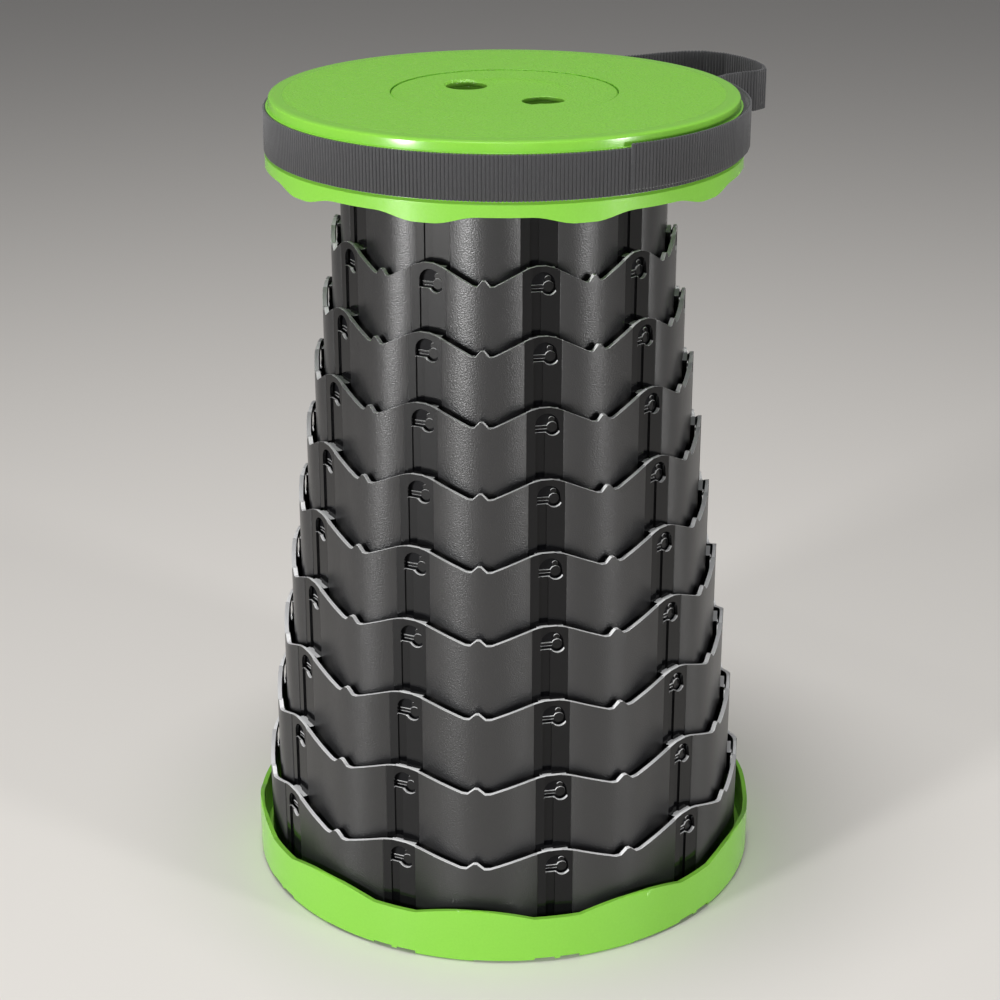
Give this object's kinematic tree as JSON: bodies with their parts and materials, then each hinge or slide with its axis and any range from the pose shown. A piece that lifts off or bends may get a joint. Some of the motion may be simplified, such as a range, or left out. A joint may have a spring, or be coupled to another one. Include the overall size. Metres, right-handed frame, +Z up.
{
  "type": "telescoping camp stool",
  "caption": "Round camp stool that telescopes: nested wavy-rimmed tube sections between a webbing-trimmed seat and a base ring.",
  "frame": {"origin": "on the stool's axis, at floor level", "axes": "+Z up along the axis, -Y towards the front of the picture, +X to the right; the carry loop stands off at +X +Y"},
  "size_m": [0.2967, 0.2938, 0.45],
  "materials": {
    "green_plastic": "moulded polypropylene, grained on the seat top and smooth elsewhere",
    "grey_plastic": "moulded nylon, satin panels and glossy columns",
    "webbing": "ribbed polyester webbing",
    "black_plastic": "satin",
    "steel": "zinc plated",
    "rubber": "matt"
  },
  "bodies": {
    "base": {"base_ring": "green_plastic", "section_10": "grey_plastic", "foot_pads": "rubber"},
    "tier_09": {"section_09": "grey_plastic"},
    "tier_08": {"section_08": "grey_plastic"},
    "tier_07": {"section_07": "grey_plastic"},
    "tier_06": {"section_06": "grey_plastic"},
    "tier_05": {"section_05": "grey_plastic"},
    "tier_04": {"section_04": "grey_plastic"},
    "tier_03": {"section_03": "grey_plastic"},
    "tier_02": {"section_02": "grey_plastic"},
    "seat": {"section_01": "grey_plastic", "seat_cover": "green_plastic", "seat_centre_plate": "green_plastic", "seat_screws": "steel", "strap_band": "webbing", "carry_loop": "webbing", "strap_slider": "black_plastic"}
  },
  "joints": [
    {"name": "slide_09", "type": "slide", "parent": "base", "child": "tier_09", "axis": [0, 0, 1], "range_m": [-0.0355, 0]},
    {"name": "slide_08", "type": "slide", "parent": "tier_09", "child": "tier_08", "axis": [0, 0, 1], "range_m": [-0.0412, 0]},
    {"name": "slide_07", "type": "slide", "parent": "tier_08", "child": "tier_07", "axis": [0, 0, 1], "range_m": [-0.0401, 0]},
    {"name": "slide_06", "type": "slide", "parent": "tier_07", "child": "tier_06", "axis": [0, 0, 1], "range_m": [-0.039, 0]},
    {"name": "slide_05", "type": "slide", "parent": "tier_06", "child": "tier_05", "axis": [0, 0, 1], "range_m": [-0.0379, 0]},
    {"name": "slide_04", "type": "slide", "parent": "tier_05", "child": "tier_04", "axis": [0, 0, 1], "range_m": [-0.0369, 0]},
    {"name": "slide_03", "type": "slide", "parent": "tier_04", "child": "tier_03", "axis": [0, 0, 1], "range_m": [-0.0358, 0]},
    {"name": "slide_02", "type": "slide", "parent": "tier_03", "child": "tier_02", "axis": [0, 0, 1], "range_m": [-0.0347, 0]},
    {"name": "slide_01", "type": "slide", "parent": "tier_02", "child": "seat", "axis": [0, 0, 1], "range_m": [-0.0336, 0]}
  ]
}
